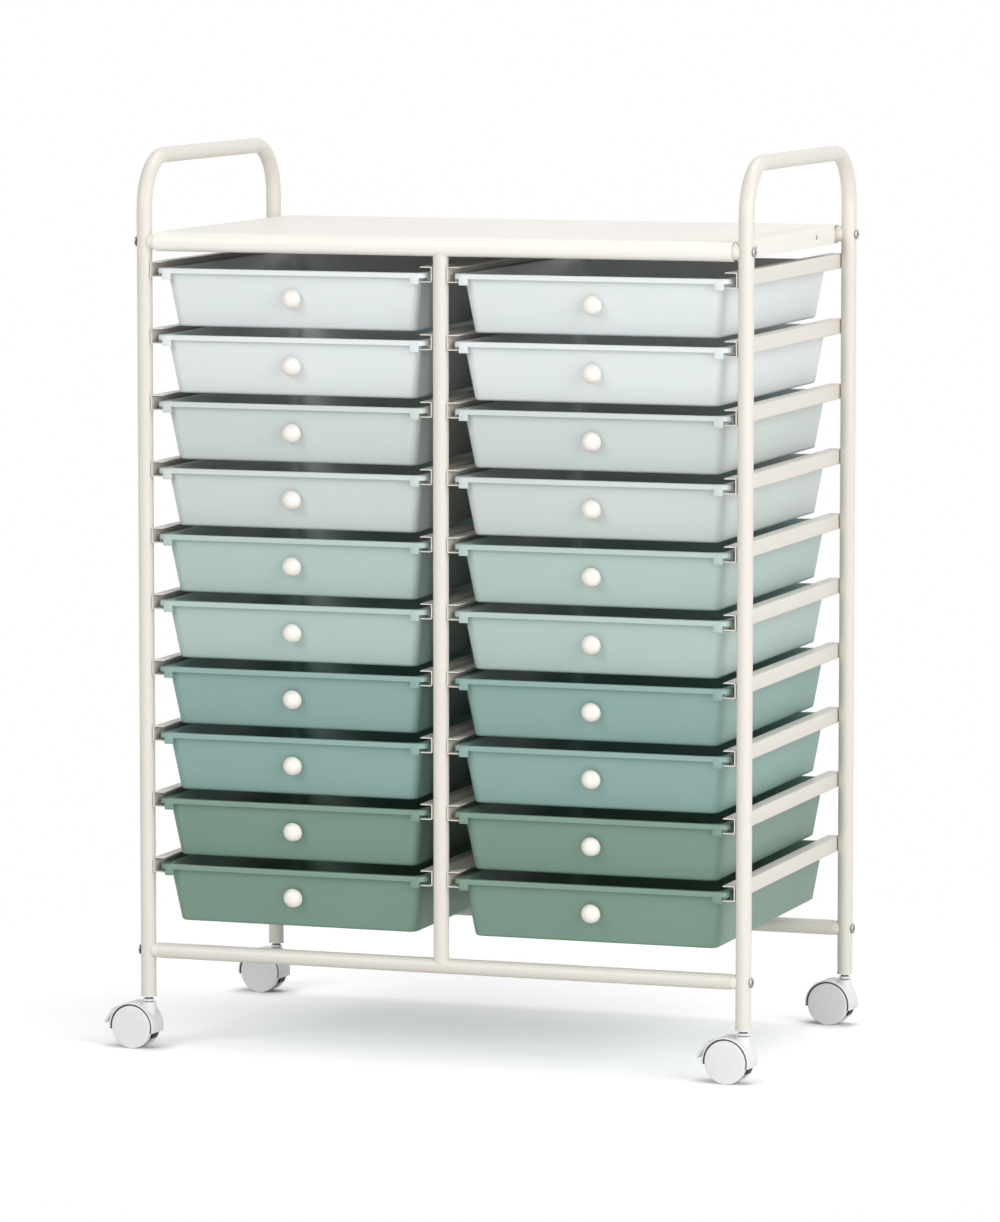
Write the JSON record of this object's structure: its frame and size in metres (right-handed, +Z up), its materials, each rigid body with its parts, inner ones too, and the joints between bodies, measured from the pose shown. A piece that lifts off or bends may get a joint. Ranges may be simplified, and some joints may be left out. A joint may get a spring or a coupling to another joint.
{
  "type": "rolling drawer cart",
  "caption": "Rolling drawer cart: two bays of shallow plastic drawers on rails in a tube frame with a sheet top, side push handles and twin-wheel casters.",
  "frame": {"origin": "on the floor, midway between the four legs", "axes": "+X to the right seen from the front, +Y to the back, +Z up; the drawers open towards -Y"},
  "size_m": [0.6618, 0.3776, 0.8754],
  "materials": {
    "frame_steel": "ivory powder coat",
    "ivory_plastic": "satin ivory",
    "screw_steel": "zinc plated",
    "white_plastic": "satin white",
    "wheel_grey": "satin light grey",
    "tub_pale_blue": "satin pale blue-grey",
    "tub_pale_green": "satin pale grey-green",
    "tub_light_teal": "satin light teal",
    "tub_teal": "satin medium teal",
    "tub_sage": "satin sage green"
  },
  "bodies": {
    "frame": {"left_side_hoop": "frame_steel", "right_side_hoop": "frame_steel", "cross_bars": "frame_steel", "bar_end_saddles": "ivory_plastic", "frame_screws": "screw_steel", "top_panel": "frame_steel", "centre_posts": "frame_steel", "left_bay_rails": "frame_steel", "right_bay_rails": "frame_steel", "caster_sockets": "white_plastic"},
    "drawer_left_01": {"drawer_left_01": "tub_pale_blue", "knob_left_01": "ivory_plastic"},
    "drawer_left_02": {"drawer_left_02": "tub_pale_blue", "knob_left_02": "ivory_plastic"},
    "drawer_left_03": {"drawer_left_03": "tub_pale_green", "knob_left_03": "ivory_plastic"},
    "drawer_left_04": {"drawer_left_04": "tub_pale_green", "knob_left_04": "ivory_plastic"},
    "drawer_left_05": {"drawer_left_05": "tub_light_teal", "knob_left_05": "ivory_plastic"},
    "drawer_left_06": {"drawer_left_06": "tub_light_teal", "knob_left_06": "ivory_plastic"},
    "drawer_left_07": {"drawer_left_07": "tub_teal", "knob_left_07": "ivory_plastic"},
    "drawer_left_08": {"drawer_left_08": "tub_teal", "knob_left_08": "ivory_plastic"},
    "drawer_left_09": {"drawer_left_09": "tub_sage", "knob_left_09": "ivory_plastic"},
    "drawer_left_10": {"drawer_left_10": "tub_sage", "knob_left_10": "ivory_plastic"},
    "drawer_right_01": {"drawer_right_01": "tub_pale_blue", "knob_right_01": "ivory_plastic"},
    "drawer_right_02": {"drawer_right_02": "tub_pale_blue", "knob_right_02": "ivory_plastic"},
    "drawer_right_03": {"drawer_right_03": "tub_pale_green", "knob_right_03": "ivory_plastic"},
    "drawer_right_04": {"drawer_right_04": "tub_pale_green", "knob_right_04": "ivory_plastic"},
    "drawer_right_05": {"drawer_right_05": "tub_light_teal", "knob_right_05": "ivory_plastic"},
    "drawer_right_06": {"drawer_right_06": "tub_light_teal", "knob_right_06": "ivory_plastic"},
    "drawer_right_07": {"drawer_right_07": "tub_teal", "knob_right_07": "ivory_plastic"},
    "drawer_right_08": {"drawer_right_08": "tub_teal", "knob_right_08": "ivory_plastic"},
    "drawer_right_09": {"drawer_right_09": "tub_sage", "knob_right_09": "ivory_plastic"},
    "drawer_right_10": {"drawer_right_10": "tub_sage", "knob_right_10": "ivory_plastic"},
    "caster_front_left": {"caster_front_left": "white_plastic"},
    "wheels_front_left": {"wheels_front_left": "wheel_grey"},
    "brake_front_left": {"brake_front_left": "white_plastic"},
    "caster_front_right": {"caster_front_right": "white_plastic"},
    "wheels_front_right": {"wheels_front_right": "wheel_grey"},
    "brake_front_right": {"brake_front_right": "white_plastic"},
    "caster_rear_left": {"caster_rear_left": "white_plastic"},
    "wheels_rear_left": {"wheels_rear_left": "wheel_grey"},
    "caster_rear_right": {"caster_rear_right": "white_plastic"},
    "wheels_rear_right": {"wheels_rear_right": "wheel_grey"}
  },
  "joints": [
    {"name": "slide_left_01", "type": "slide", "parent": "frame", "child": "drawer_left_01", "axis": [0, -1, 0], "range_m": [0, 0.3]},
    {"name": "slide_left_02", "type": "slide", "parent": "frame", "child": "drawer_left_02", "axis": [0, -1, 0], "range_m": [0, 0.3]},
    {"name": "slide_left_03", "type": "slide", "parent": "frame", "child": "drawer_left_03", "axis": [0, -1, 0], "range_m": [0, 0.3]},
    {"name": "slide_left_04", "type": "slide", "parent": "frame", "child": "drawer_left_04", "axis": [0, -1, 0], "range_m": [0, 0.3]},
    {"name": "slide_left_05", "type": "slide", "parent": "frame", "child": "drawer_left_05", "axis": [0, -1, 0], "range_m": [0, 0.3]},
    {"name": "slide_left_06", "type": "slide", "parent": "frame", "child": "drawer_left_06", "axis": [0, -1, 0], "range_m": [0, 0.3]},
    {"name": "slide_left_07", "type": "slide", "parent": "frame", "child": "drawer_left_07", "axis": [0, -1, 0], "range_m": [0, 0.3]},
    {"name": "slide_left_08", "type": "slide", "parent": "frame", "child": "drawer_left_08", "axis": [0, -1, 0], "range_m": [0, 0.3]},
    {"name": "slide_left_09", "type": "slide", "parent": "frame", "child": "drawer_left_09", "axis": [0, -1, 0], "range_m": [0, 0.3]},
    {"name": "slide_left_10", "type": "slide", "parent": "frame", "child": "drawer_left_10", "axis": [0, -1, 0], "range_m": [0, 0.3]},
    {"name": "slide_right_01", "type": "slide", "parent": "frame", "child": "drawer_right_01", "axis": [0, -1, 0], "range_m": [0, 0.3]},
    {"name": "slide_right_02", "type": "slide", "parent": "frame", "child": "drawer_right_02", "axis": [0, -1, 0], "range_m": [0, 0.3]},
    {"name": "slide_right_03", "type": "slide", "parent": "frame", "child": "drawer_right_03", "axis": [0, -1, 0], "range_m": [0, 0.3]},
    {"name": "slide_right_04", "type": "slide", "parent": "frame", "child": "drawer_right_04", "axis": [0, -1, 0], "range_m": [0, 0.3]},
    {"name": "slide_right_05", "type": "slide", "parent": "frame", "child": "drawer_right_05", "axis": [0, -1, 0], "range_m": [0, 0.3]},
    {"name": "slide_right_06", "type": "slide", "parent": "frame", "child": "drawer_right_06", "axis": [0, -1, 0], "range_m": [0, 0.3]},
    {"name": "slide_right_07", "type": "slide", "parent": "frame", "child": "drawer_right_07", "axis": [0, -1, 0], "range_m": [0, 0.3]},
    {"name": "slide_right_08", "type": "slide", "parent": "frame", "child": "drawer_right_08", "axis": [0, -1, 0], "range_m": [0, 0.3]},
    {"name": "slide_right_09", "type": "slide", "parent": "frame", "child": "drawer_right_09", "axis": [0, -1, 0], "range_m": [0, 0.3]},
    {"name": "slide_right_10", "type": "slide", "parent": "frame", "child": "drawer_right_10", "axis": [0, -1, 0], "range_m": [0, 0.3]},
    {"name": "swivel_front_left", "type": "hinge", "parent": "frame", "child": "caster_front_left", "pos_m": [-0.3025, -0.174, 0.051], "axis": [0, 0, 1], "continuous": true},
    {"name": "spin_front_left", "type": "hinge", "parent": "caster_front_left", "child": "wheels_front_left", "pos_m": [-0.31644, -0.17266, 0.021], "axis": [0.0958, 0.9954, 0], "continuous": true},
    {"name": "brake_pedal_front_left", "type": "hinge", "parent": "caster_front_left", "child": "brake_front_left", "pos_m": [-0.33023, -0.17133, 0.029], "axis": [-0.0958, -0.9954, 0], "range_deg": [0, 10]},
    {"name": "swivel_front_right", "type": "hinge", "parent": "frame", "child": "caster_front_right", "pos_m": [0.3025, -0.174, 0.051], "axis": [0, 0, 1], "continuous": true},
    {"name": "spin_front_right", "type": "hinge", "parent": "caster_front_right", "child": "wheels_front_right", "pos_m": [0.28856, -0.17266, 0.021], "axis": [0.0958, 0.9954, 0], "continuous": true},
    {"name": "brake_pedal_front_right", "type": "hinge", "parent": "caster_front_right", "child": "brake_front_right", "pos_m": [0.27477, -0.17133, 0.029], "axis": [-0.0958, -0.9954, 0], "range_deg": [0, 10]},
    {"name": "swivel_rear_left", "type": "hinge", "parent": "frame", "child": "caster_rear_left", "pos_m": [-0.3025, 0.174, 0.051], "axis": [0, 0, 1], "continuous": true},
    {"name": "spin_rear_left", "type": "hinge", "parent": "caster_rear_left", "child": "wheels_rear_left", "pos_m": [-0.31644, 0.17534, 0.021], "axis": [0.0958, 0.9954, 0], "continuous": true},
    {"name": "swivel_rear_right", "type": "hinge", "parent": "frame", "child": "caster_rear_right", "pos_m": [0.3025, 0.174, 0.051], "axis": [0, 0, 1], "continuous": true},
    {"name": "spin_rear_right", "type": "hinge", "parent": "caster_rear_right", "child": "wheels_rear_right", "pos_m": [0.28856, 0.17534, 0.021], "axis": [0.0958, 0.9954, 0], "continuous": true}
  ]
}
